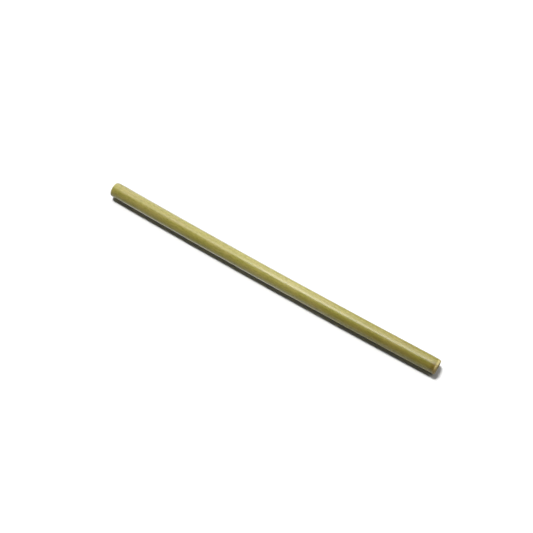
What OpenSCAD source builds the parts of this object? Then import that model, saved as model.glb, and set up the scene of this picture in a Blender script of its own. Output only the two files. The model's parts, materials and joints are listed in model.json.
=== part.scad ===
// Bamboo drinking straw: one internode of a thin culm, cut to length, with both mouths sanded round.
// It lies on its side as it comes to rest: X runs along the straw, the table is Z = 0, and the
// natural bow lies flat on the table, with its middle towards -Y and both mouths towards +Y.

/* [Culm] */
// Length of the straw, from one mouth to the other
straw_len = 200; // [150:1:300]
// Outside diameter over the skin
outer_d = 8.5; // [7:0.1:14]
// Thickness of the wall, from the skin to the bore
wall = 1.1; // [0.9:0.1:2]
// Natural bow: how far the middle stands off the line that joins both mouths
bow = 0.9; // [0.2:0.1:2]

/* [Mouths] */
// Stretch next to each mouth that is sanded and reamed true to X
mouth_len = 6; // [3:0.5:10]
// Depth that sanding takes off the skin there, at the least
sand_depth = 0.03; // [0.02:0.01:0.1]
// Depth that reaming takes off the bore there, at the least
ream_depth = 0.03; // [0.02:0.01:0.1]
// Radius of the rounded outer rim
rim_round = 0.65; // [0.3:0.05:1]
// Width of the small bevel that breaks the edge of the bore
bore_bevel = 0.15; // [0.05:0.05:0.3]

/* [Hidden] */
$fn = 96;

// Flat face that stays between the rim and the bevel, at the least
least_face = 0.1;
// How far the bent tube runs past a mouth before it is cut
cut_spare = 1;
// How far the waste reaches beyond the bent tube
waste_over = 2 * cut_spare;
// Equal stretches in each half of the bend
bend_steps = 5;
// The angle of a stretch is rounded up to this many degrees, so that the stretches meet exactly
angle_grid = 0.0001;

outer_r = outer_d / 2;
bore_r = outer_r - wall;
half_len = straw_len / 2;

// The bend is one arc through both mouths and the middle
bend_r = (half_len * half_len + bow * bow) / (2 * bow);
spare_angle = cut_spare / bend_r * 180 / PI;
step_angle = ceil((asin(half_len / bend_r) + spare_angle) / bend_steps / angle_grid) * angle_grid;

// Height of the bend above its middle, at x along the straw
function bend_y(x) = bend_r - sqrt(bend_r * bend_r - x * x);

// A mouth's axis runs along X, midway between the bend's heights at both ends of its stretch
low_y = bend_y(half_len - mouth_len);
mouth_y = (bow + low_y) / 2;
out_of_true = (bow - low_y) / 2;
mouth_r = outer_r - out_of_true - sand_depth;
mouth_bore_r = bore_r + out_of_true + ream_depth;
rim_r = min(rim_round, mouth_r - mouth_bore_r - bore_bevel - least_face);

// The bent tube from its middle to just past the mouth on +X
module bent_half() {
    translate([0, bend_r, 0])
        for (i = [0 : bend_steps - 1])
            rotate_extrude(angle = step_angle, start = i * step_angle - 90)
                translate([bend_r, 0]) difference() {
                    circle(outer_r);
                    circle(bore_r);
                }
}

// Section of the wall that stays at a mouth: X is the radius, Y points out, and Y = 0 is the cut
module mouth_wall() {
    difference() {
        translate([mouth_bore_r, -mouth_len - waste_over])
            square([mouth_r - mouth_bore_r, mouth_len + waste_over]);
        translate([mouth_r - rim_r, -rim_r]) difference() {
            square(2 * rim_r);
            circle(rim_r);
        }
        translate([mouth_bore_r, 0]) rotate(45) square(bore_bevel * sqrt(2), center = true);
    }
}

// What cutting, sanding and reaming take away around that wall, at the mouth on +X
module mouth_waste() {
    translate([half_len, mouth_y, 0]) rotate([0, 90, 0]) rotate_extrude() difference() {
        translate([0, -mouth_len]) square([outer_r + waste_over, mouth_len + waste_over]);
        mouth_wall();
    }
}

module bamboo_tube() {
    color([0.70, 0.67, 0.42]) translate([0, -bow / 2, outer_r])
        for (side = [0, 1])
            mirror([side, 0, 0]) difference() {
                bent_half();
                mouth_waste();
            }
}

bamboo_tube();
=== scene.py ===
import json
import math

import bpy
import numpy as np
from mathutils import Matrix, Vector


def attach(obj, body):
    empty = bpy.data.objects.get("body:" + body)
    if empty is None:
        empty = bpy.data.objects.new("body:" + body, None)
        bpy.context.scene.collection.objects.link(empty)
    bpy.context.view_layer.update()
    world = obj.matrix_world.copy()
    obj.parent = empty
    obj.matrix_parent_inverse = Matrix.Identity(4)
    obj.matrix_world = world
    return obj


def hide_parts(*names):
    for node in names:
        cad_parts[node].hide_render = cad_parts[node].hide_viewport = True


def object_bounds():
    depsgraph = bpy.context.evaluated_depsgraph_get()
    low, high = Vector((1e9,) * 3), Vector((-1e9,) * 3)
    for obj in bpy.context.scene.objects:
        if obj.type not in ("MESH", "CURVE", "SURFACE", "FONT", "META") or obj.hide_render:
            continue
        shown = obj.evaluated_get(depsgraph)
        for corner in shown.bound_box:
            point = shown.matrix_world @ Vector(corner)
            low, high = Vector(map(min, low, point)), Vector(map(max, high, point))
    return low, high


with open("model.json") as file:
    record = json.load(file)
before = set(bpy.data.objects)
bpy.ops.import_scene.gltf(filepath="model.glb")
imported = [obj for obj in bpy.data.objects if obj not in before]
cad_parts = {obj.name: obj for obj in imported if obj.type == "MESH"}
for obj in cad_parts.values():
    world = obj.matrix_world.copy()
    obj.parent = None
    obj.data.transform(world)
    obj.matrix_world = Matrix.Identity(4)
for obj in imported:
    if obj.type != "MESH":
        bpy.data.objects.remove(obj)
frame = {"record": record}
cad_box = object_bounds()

# The straw: one length of a thin bamboo culm between two nodes, so it is a plain tube from end to end.
# It is sawn off at both ends, the skin stays on, the bore is cleaned out with a rod, and both mouths
# are sanded round by hand, which takes the skin off there and shows the cream wood and its fibres.

# Sizes in millimetres, which MM turns into metres
MM = 0.001
half_len = cad_box[1].x / MM
outer_r = (cad_box[1].z - cad_box[0].z) / 2 / MM
wall = 1.1
bow = 0.9

# Each mouth runs true to X over mouth_len, and bends away over mouth_blend on both sides of its end
mouth_len = 6.0
mouth_blend = 1.5
mounts = {mount["name"]: mount for mount in frame["record"]["mounts"]}
mouth_y = mounts["mouth_right_outside"]["pos_m"][1] / MM
mouth_r = mounts["mouth_right_outside"]["dims"]["r_mm"]
mouth_bore_r = mounts["mouth_right_bore"]["dims"]["r_mm"]
sanded_len = 3.5
rim_round = 0.65
rim_steps = 8
bore_bevel = 0.15
round_count = 168


def ease(low, high, value):
    """Smooth step: 0 below low, 1 above high, and 3t^2 - 2t^3 between them."""
    t = np.clip((value - low) / (high - low), 0, 1)
    return t * t * (3 - 2 * t)


def drift(x, turn, pitch, cells, seed):
    """Uneven growth between -1 and 1: random heights on a grid that is `pitch` mm long and has `cells`
    cells round the culm, joined by smooth steps both ways. It closes on itself round the culm."""
    rows = int(2 * half_len / pitch) + 3
    heights = np.random.default_rng(seed).uniform(-1, 1, (rows, cells))
    along, around = (x + half_len) / pitch, (turn % 1) * cells
    i, j = np.floor(along).astype(int), np.floor(around).astype(int)
    u, v = ease(0, 1, along - i), ease(0, 1, around - j)
    low, high = heights[i, j % cells], heights[i, (j + 1) % cells]
    low_next, high_next = heights[i + 1, j % cells], heights[i + 1, (j + 1) % cells]
    return (1 - u) * ((1 - v) * low + v * high) + u * ((1 - v) * low_next + v * high_next)


def side(turn, degrees):
    """Cosine of the angle from one side of the culm: 1 on that side and -1 opposite to it. 0 degrees is
    the side towards +Y and 90 degrees is the top."""
    return np.cos(2 * math.pi * turn - math.radians(degrees))


def mouth_share(x):
    """0 on the bent stretch and 1 on the true one next to each mouth, by a smooth step between them."""
    start = half_len - mouth_len
    return ease(start - mouth_blend, start + mouth_blend, np.abs(x))


def centre_line(x):
    """Place of the culm's axis along Y, in mm: one arc through both mouths and the middle, blended into
    the straight stretch at each mouth."""
    bend_r = (half_len ** 2 + bow ** 2) / (2 * bow)
    bend_y = bend_r - np.sqrt(bend_r ** 2 - x ** 2) - bow / 2
    return bend_y + (mouth_y - bend_y) * mouth_share(x)


def stations(end, fine_len, fine_step, middle_count):
    """Places along X from -end to end: fine steps next to both ends, and longer even ones between."""
    near_end = np.arange(0, fine_len, fine_step)
    middle = np.linspace(fine_len - end, end - fine_len, middle_count)
    return np.concatenate([near_end - end, middle, end - near_end[::-1]])


def wall_section():
    """The wall's closed section: stations (x, radius, depth), where depth is 0 on the skin and 1 in the
    bore. It runs along the skin to the mouth on +X, over the rounded rim by the sine and cosine of its
    lean, across the cut, down the bevel and back through the bore to the other mouth."""
    skin_end = half_len - rim_round
    skin_x = stations(skin_end, fine_len=8, fine_step=0.25, middle_count=368)
    sanded = ease(half_len - sanded_len, skin_end, np.abs(skin_x))
    skin = np.stack([skin_x, outer_r + (mouth_r - outer_r) * sanded, 0 * skin_x], 1)

    lean = np.linspace(0, math.pi / 2, rim_steps + 1)[1:]
    rim_x = skin_end + rim_round * np.sin(lean)
    rim = np.stack([rim_x, mouth_r - rim_round * (1 - np.cos(lean)), 0 * rim_x], 1)
    edge_r = mouth_bore_r + bore_bevel
    cut = np.array([[half_len, (rim[-1, 1] + edge_r) / 2, 0.5], [half_len, edge_r, 0.8]])
    bevel = np.array([[half_len - bore_bevel / 2, mouth_bore_r + bore_bevel / 2, 1]])
    mouth = np.concatenate([rim, cut, bevel])

    bore_x = -stations(half_len - bore_bevel, fine_len=12, fine_step=0.5, middle_count=58)
    bore_r = outer_r - wall
    bore = np.stack([bore_x, bore_r + (mouth_bore_r - bore_r) * mouth_share(bore_x), 1 + 0 * bore_x], 1)
    other_mouth = mouth[::-1] * [-1, 1, 1]
    return np.concatenate([skin, mouth, bore, other_mouth])


def wood_relief(x, radius, depth, turn):
    """How far each point lies inside its station's radius, in mm: depths times uneven growth for the skin
    and the bore, and what sanding took off more on one side than on the other."""
    # Long swells and fine fibre ridges on the skin, which sanding levels next to a mouth, and a raw bore
    swell = 0.012 + 0.012 * drift(x, turn, pitch=24, cells=5, seed=11)
    ridges = (0.006 + 0.004 * drift(x, turn, pitch=16, cells=42, seed=12)
              + 0.002 * drift(x, turn, pitch=6, cells=56, seed=13))
    raw = (0.020 * drift(x, turn, pitch=11, cells=28, seed=14)
           + 0.012 * drift(x, turn, pitch=5, cells=50, seed=15))
    on_skin = (depth == 0) * (1 - ease(half_len - 2.0, half_len - rim_round, np.abs(x)))
    trued = mouth_share(x)
    relief = (swell + ridges) * on_skin + raw * (depth == 1) * (1 - trued)

    # Sanding by hand rounds each rim a little more on the side that was held down
    held_round = np.where(x > 0, 0.27, 0.34)
    held = 0.5 + 0.5 * side(turn, 24)
    on_rim = np.clip((radius - mouth_r + rim_round) / rim_round, 0, 1)
    relief = relief + held_round * held * on_rim * (1 - ease(0.1, 1.6, half_len - np.abs(x)))

    # The bow's outer side is taken down a little earlier, so that each mouth lies in line with X
    trued_depth = 0.06
    unsanded = np.clip((radius - mouth_r) / (outer_r - mouth_r), 0, 1)
    return relief + trued_depth * np.clip(side(turn, 0), 0, 1) * trued * unsanded


def finish_marks(x, depth, turn):
    """Three shares from 0 to 1 at each point, which tell the finish what is bare wood, what is lining, and
    what is stained together with the painted shade on one rim. Each is made of smooth steps in the
    distance from the mouth and the side."""
    from_mouth = half_len - np.abs(x) + 0 * turn

    # How far the bare wood reaches from each mouth, in mm: sanding by hand is never quite even
    reach = np.where(x > 0, 1.14, 0.2) + 0.22 * drift(x * 0, turn, pitch=20, cells=7, seed=16)
    reach = reach + 0.08 * drift(x, turn, pitch=0.8, cells=60, seed=17)
    bare = np.where(depth > 0, 1.0, 1 - ease(reach - 0.35, reach + 0.25, from_mouth))
    inside = ease(0.6, 1.0, depth) + 0 * turn

    # The skin is browner in a band along one side, and most so towards one mouth. Next to that mouth a
    # patch of it has gone brown, and the rim below the patch is darkened towards the table as painted
    # shade.
    band = ease(0.935, 0.99, side(turn, 134)) * (depth == 0)
    band = band * (0.08 + 0.24 * ease(0, 60, x))
    patch = 0.06 + 0.79 * ease(0.62, 0.95, side(turn, 130))
    patch_end = from_mouth + 0.5 * drift(x, turn, pitch=2, cells=9, seed=18)
    patch = patch * (1 - ease(2.4, 4.2, patch_end))
    # Painted shade: the lower side of the rim, which faces the table, is darkened right next to the mouth
    rim_shade = ease(0.7, 0.98, side(turn, 160))
    near = rim_shade + (np.maximum(patch, band) - rim_shade) * ease(0.9, 1.4, from_mouth)
    return {"bare": bare, "inside": inside, "stain": np.where(x > 0, near, band)}


def culm_mesh(name):
    """A grid of stations along the wall's section by steps round the culm. Each point is the centre line
    at x plus the station's radius, less the relief, in the direction of its turn."""
    section = wall_section()
    x, radius, depth = (section[:, k:k + 1] for k in range(3))
    turn = np.arange(round_count)[None, :] / round_count
    angle = 2 * math.pi * turn
    spread = radius - wood_relief(x, radius, depth, turn)
    points = np.stack([x + 0 * angle, centre_line(x) + spread * np.cos(angle),
                       outer_r + spread * np.sin(angle)], -1)

    rows, cols = points.shape[:2]
    i, j = np.meshgrid(np.arange(rows), np.arange(cols), indexing="ij")
    k, m = (i + 1) % rows, (j + 1) % cols
    quads = np.stack([i * cols + j, i * cols + m, k * cols + m, k * cols + j], -1).reshape(-1, 4)
    mesh = bpy.data.meshes.new(name)
    mesh.from_pydata(points.reshape(-1, 3) * MM, [], quads)
    mesh.shade_smooth()
    for label, values in finish_marks(x, depth, turn).items():
        mesh.attributes.new(label, "FLOAT", "POINT").data.foreach_set("value", values.ravel())
    uv = mesh.uv_layers.new(name="wall")
    corner = np.stack([j, j + 1, j + 1, j], -1) / cols, np.stack([i, i, i + 1, i + 1], -1) / rows
    uv.data.foreach_set("uv", np.stack(corner, -1).ravel())
    return mesh


def link_nodes(tree, kind, inputs=(), **settings):
    """Adds a node. Settings are its own options, and inputs pairs a socket with a value or an output."""
    node = tree.nodes.new(kind)
    for option, value in settings.items():
        setattr(node, option, value)
    for socket, value in dict(inputs).items():
        if isinstance(value, bpy.types.NodeSocket):
            tree.links.new(value, node.inputs[socket])
        else:
            node.inputs[socket].default_value = value
    return node


def stretched(tree, place, scale):
    """The place in millimetres, stretched: scale is how many cells there are per mm along x, y and z."""
    return link_nodes(tree, "ShaderNodeMapping", {
        "Vector": place, "Scale": [cells / MM for cells in scale]}).outputs["Vector"]


def stretched_noise(tree, place, scale, detail, rough):
    """Noise with that many cells per mm along x, y and z."""
    return link_nodes(tree, "ShaderNodeTexNoise", {
        "Vector": stretched(tree, place, scale), "Scale": 1.0, "Detail": detail,
        "Roughness": rough}).outputs["Fac"]


def ramp(tree, value, stops):
    """Colour ramp through (place, colour) stops."""
    node = link_nodes(tree, "ShaderNodeValToRGB", {"Fac": value})
    band = node.color_ramp
    while len(band.elements) < len(stops):
        band.elements.new(0.5)
    for element, (place, colour) in zip(band.elements, stops):
        element.position = place
        element.color = (*colour, 1)
    return node.outputs["Color"]


def levels(tree, value, stops):
    """The same ramp through (place, number) stops."""
    return ramp(tree, value, [(place, (level, level, level)) for place, level in stops])


def blend_colours(tree, amount, first, second, kind="MIX"):
    """Mixes two colours, each a value or an output, by an amount from 0 to 1."""
    node = link_nodes(tree, "ShaderNodeMix", data_type="RGBA", blend_type=kind)
    for socket, value in zip((node.inputs[0], node.inputs[6], node.inputs[7]), (amount, first, second)):
        if isinstance(value, bpy.types.NodeSocket):
            tree.links.new(value, socket)
        elif isinstance(value, float):
            socket.default_value = value
        else:
            socket.default_value = (*value, 1)
    return node.outputs[2]


def number(tree, operation, *values):
    """Math node on numbers or outputs."""
    node = link_nodes(tree, "ShaderNodeMath", operation=operation)
    for socket, value in zip(node.inputs, values):
        if isinstance(value, bpy.types.NodeSocket):
            tree.links.new(value, socket)
        else:
            socket.default_value = value
    return node.outputs[0]


def remap(tree, value, source, target):
    """Maps a number from one range to another in a straight line, and holds it at both ends."""
    return link_nodes(tree, "ShaderNodeMapRange", {
        "Value": value, "From Min": source[0], "From Max": source[1],
        "To Min": target[0], "To Max": target[1]}).outputs["Result"]


def skin_colour(tree, place, along, streaked, mottles, flecks):
    """Broad patches of olive, straw yellow and tan, times a tone along the culm that is a little lighter
    past the middle and darker towards both ends, most towards +X, then fine streaks along the grain,
    mottles and a few dark flecks."""
    olive, straw_yellow, tan = (0.210, 0.196, 0.034), (0.234, 0.210, 0.047), (0.252, 0.215, 0.062)
    patches = stretched_noise(tree, place, (0.06, 0.28, 0.28), 4.0, 0.6)
    skin = ramp(tree, patches, [(0.30, olive), (0.50, straw_yellow), (0.70, tan)])
    # A little lighter past the middle, darker towards both ends and most towards +X
    tone_along = ramp(tree, along, [
        (0.0, (0.94, 0.93, 0.95)), (0.3, (0.99, 0.99, 0.98)), (0.57, (1.03, 1.03, 1.02)),
        (0.8, (0.835, 0.83, 0.755)), (1.0, (0.76, 0.74, 0.62))])
    mottled = ramp(tree, mottles, [
        (0.36, (0.78, 0.81, 0.60)), (0.50, (1.0, 1.0, 1.0)), (0.64, (1.15, 1.12, 1.19))])
    flecked = ramp(tree, flecks, [(0.26, (0.62, 0.55, 0.42)), (0.38, (1.0, 1.0, 1.0))])
    for amount, tint in ((1.0, tone_along), (0.8, streaked), (0.9, mottled), (0.8, flecked)):
        skin = blend_colours(tree, amount, skin, tint, "MULTIPLY")
    return skin


def bare_wood_colour(tree, place, streaked, inside, stain):
    """Cream ground with the brown ends of the fibre bundles, which show as streaks along it. It is browner
    where it is stained, darker where shade is painted on the rim's lower side, and a little paler in the
    bore."""
    fibre_brown, wood_tan, cream = (0.17, 0.11, 0.045), (0.32, 0.265, 0.10), (0.355, 0.305, 0.13)
    bundles = link_nodes(tree, "ShaderNodeTexVoronoi", {
        "Vector": stretched(tree, place, (0.03, 2.6, 2.6)), "Scale": 1.0}, feature="F1")
    wood = ramp(tree, bundles.outputs["Distance"], [
        (0.12, fibre_brown), (0.30, wood_tan), (0.60, cream)])
    # Wood darkened by the stain and by the painted shade on the rim's lower side
    shaded_wood = blend_colours(tree, 1.0, wood, (0.66, 0.57, 0.42), "MULTIPLY")
    wood = blend_colours(tree, stain, wood, shaded_wood)
    wood = blend_colours(tree, 0.5, wood, streaked, "MULTIPLY")
    lining = blend_colours(tree, 0.6, wood, (0.40, 0.33, 0.18))
    return blend_colours(tree, inside, wood, lining)


def wax_shine(tree, along, bare):
    """How the wax shines: its gloss, how much smoother it looks, and its clear coat. It is thickest a
    little past the middle. The skin looks smoother at a glancing angle, where the wax shines as a thin
    clear coat as well, but that coat has worn off towards both mouths."""
    facing = link_nodes(tree, "ShaderNodeLayerWeight", {"Blend": 0.5}).outputs["Facing"]
    smoother = remap(tree, facing, (0.22, 0.55), (0.0, 0.18))
    waxy = levels(tree, along, [(0.0, 0.64), (0.35, 0.66), (0.56, 1.0), (0.80, 0.67), (1.0, 0.78)])
    gloss = number(tree, "MULTIPLY", remap(tree, facing, (0.10, 0.22), (0.67, 0.482)), waxy)
    coat = levels(tree, along, [(0.0, 0.0), (0.05, 1.0), (0.5, 1.0), (0.75, 0.0)])
    coat = number(tree, "MULTIPLY", coat, remap(tree, facing, (0.42, 0.54), (0.0, 1.0)))
    coat = number(tree, "MULTIPLY", coat, number(tree, "SUBTRACT", 1.0, bare))
    return gloss, smoother, coat


def bamboo_finish():
    """Olive skin under wax, mottled along the grain and browned by the stain, with painted shade on the
    lower side next to one mouth; cream wood with brown fibre ends where it is sanded bare; a paler lining
    in the bore."""
    material = bpy.data.materials.new("bamboo")
    material.use_nodes = True
    tree = material.node_tree
    tree.nodes.clear()
    place = link_nodes(tree, "ShaderNodeTexCoord").outputs["Object"]
    bare, inside, stain = (link_nodes(tree, "ShaderNodeAttribute", attribute_name=mark).outputs["Fac"]
                           for mark in ("bare", "inside", "stain"))
    along = link_nodes(tree, "ShaderNodeSeparateXYZ", {"Vector": place}).outputs["X"]
    along = remap(tree, along, (-half_len * MM, half_len * MM), (0.0, 1.0))

    # The grain that skin and wood share: fine streaks, mottles and flecks, all drawn out along the culm
    streaks = stretched_noise(tree, place, (0.08, 3.2, 3.2), 3.0, 0.6)
    streaked = ramp(tree, streaks, [
        (0.30, (0.80, 0.80, 0.74)), (0.55, (1.0, 1.0, 1.0)), (0.75, (1.10, 1.08, 1.06))])
    mottles = stretched_noise(tree, place, (0.55, 1.2, 1.2), 4.0, 0.75)
    flecks = stretched_noise(tree, place, (0.9, 2.2, 2.2), 2.0, 0.5)

    skin = skin_colour(tree, place, along, streaked, mottles, flecks)
    # The skin is browned where it is stained and darkened by painted shade next to one mouth
    browned_and_shaded = blend_colours(tree, 1.0, skin, (0.62, 0.48, 0.30), "MULTIPLY")
    skin = blend_colours(tree, stain, skin, browned_and_shaded)
    wood = bare_wood_colour(tree, place, streaked, inside, stain)
    colour = blend_colours(tree, bare, skin, wood)

    # Relief of the grain, and a surface that is rougher in the mottles and where the wood is bare
    fine = number(tree, "MULTIPLY", streaks, 0.7)
    grain = number(tree, "ADD", fine, number(tree, "MULTIPLY", flecks, 0.3))
    bump = link_nodes(tree, "ShaderNodeBump", {"Strength": 0.35, "Distance": 0.04 * MM, "Height": grain})
    rough = number(tree, "ADD", number(tree, "MULTIPLY", mottles, 0.20), 0.21)
    rough = number(tree, "ADD", rough, number(tree, "MULTIPLY", bare, 0.45))
    gloss, smoother, coat = wax_shine(tree, along, bare)
    shader = link_nodes(tree, "ShaderNodeBsdfPrincipled", {
        "Base Color": colour, "Roughness": number(tree, "SUBTRACT", rough, smoother), "IOR": 1.5,
        "Specular IOR Level": gloss, "Coat Weight": coat, "Coat Roughness": 0.15, "Coat IOR": 1.6,
        "Normal": bump.outputs["Normal"]})
    link_nodes(tree, "ShaderNodeOutputMaterial", {"Surface": shader.outputs["BSDF"]})
    return material


culm = bpy.data.objects.new("straw_culm", culm_mesh("straw_culm"))
bpy.context.scene.collection.objects.link(culm)
culm.data.materials.append(bamboo_finish())
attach(culm, "root")
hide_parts("bamboo_tube")

# The table: a plain white matte sheet, bright enough to come out white in the picture.
# The straw rests on it, and it throws its own light back up on the underside of the culm.
table_side = 12.0
reach = table_side / 2
table = bpy.data.meshes.new("table")
table.from_pydata([(-reach, -reach, 0), (reach, -reach, 0), (reach, reach, 0), (-reach, reach, 0)],
                  [], [(0, 1, 2, 3)])
table = bpy.data.objects.new("table", table)
bpy.context.scene.collection.objects.link(table)
sheet = bpy.data.materials.new("white_sheet")
sheet.use_nodes = True
paint = sheet.node_tree.nodes["Principled BSDF"].inputs
paint["Base Color"].default_value = (0.605, 0.605, 0.605, 1)
paint["Roughness"].default_value = 0.9
paint["Specular IOR Level"].default_value = 0.0
table.data.materials.append(sheet)

# The light: a pair of soft key lamps above the straw, a wide lamp low behind it, and a weak fill from
# the right. Three sheen lamps show in the gloss only, as a studio's white reflectors do. The room is
# dim, but it shows white to the camera, as the sheet does.
for name, towards, width, strength, is_sheen in (
        ("key_lamp_left", (-0.405, 0.185, 1.0), 13.0, 2.6, False),
        ("key_lamp_right", (-0.285, 0.185, 1.0), 13.0, 2.6, False),
        ("back_lamp", (-0.4, 1.0, 0.25), 60.0, 1.25, False),
        ("fill_lamp", (0.69, 0.78, 0.75), 50.0, 0.92, False),
        ("front_sheen", (-0.13, 0.03, 0.98), 12.0, 0.80, True),
        ("middle_sheen", (-0.13, 0.33, 0.93), 12.0, 0.34, True),
        ("wide_sheen", (-0.55, 0.55, 0.63), 82.0, 4.6, True)):
    lamp = bpy.data.lights.new(name, "SUN")
    lamp.energy = strength
    lamp.angle = math.radians(width)
    lamp = bpy.data.objects.new(name, lamp)
    lamp.visible_glossy = is_sheen
    lamp.visible_diffuse = not is_sheen
    lamp.rotation_euler = Vector(towards).to_track_quat("Z", "Y").to_euler()
    bpy.context.scene.collection.objects.link(lamp)

room = bpy.data.worlds.new("room")
room.use_nodes = True
room.node_tree.nodes.clear()
seen = link_nodes(room.node_tree, "ShaderNodeLightPath").outputs["Is Camera Ray"]
glow = blend_colours(room.node_tree, seen, (0.1, 0.1, 0.102), (1.0, 1.0, 1.0))
glow = link_nodes(room.node_tree, "ShaderNodeBackground", {"Color": glow})
link_nodes(room.node_tree, "ShaderNodeOutputWorld", {"Surface": glow.outputs["Background"]})
bpy.context.scene.world = room
bpy.context.scene.view_settings.view_transform = "Standard"

# The camera stands 0.6 m away, 62 degrees above the table, and the straw lies 32 degrees askew to it.
picture_side = 533
focal_px = 1134.07
distance, elevation, askew = 603.84, math.radians(62), math.radians(31.955)
aim = Vector((-5.065, 5.125 + bow / 2, 0)) * MM
back = Vector((math.sin(askew) * math.cos(elevation), -math.cos(askew) * math.cos(elevation),
               math.sin(elevation)))
camera = bpy.data.cameras.new("camera")
camera.sensor_width = 36
camera.lens = focal_px * camera.sensor_width / picture_side
camera.clip_start = 0.01
camera = bpy.data.objects.new("camera", camera)
camera.location = aim + back * distance * MM
camera.rotation_euler = (-back).to_track_quat("-Z", "Y").to_euler()
bpy.context.scene.collection.objects.link(camera)
bpy.context.scene.camera = camera
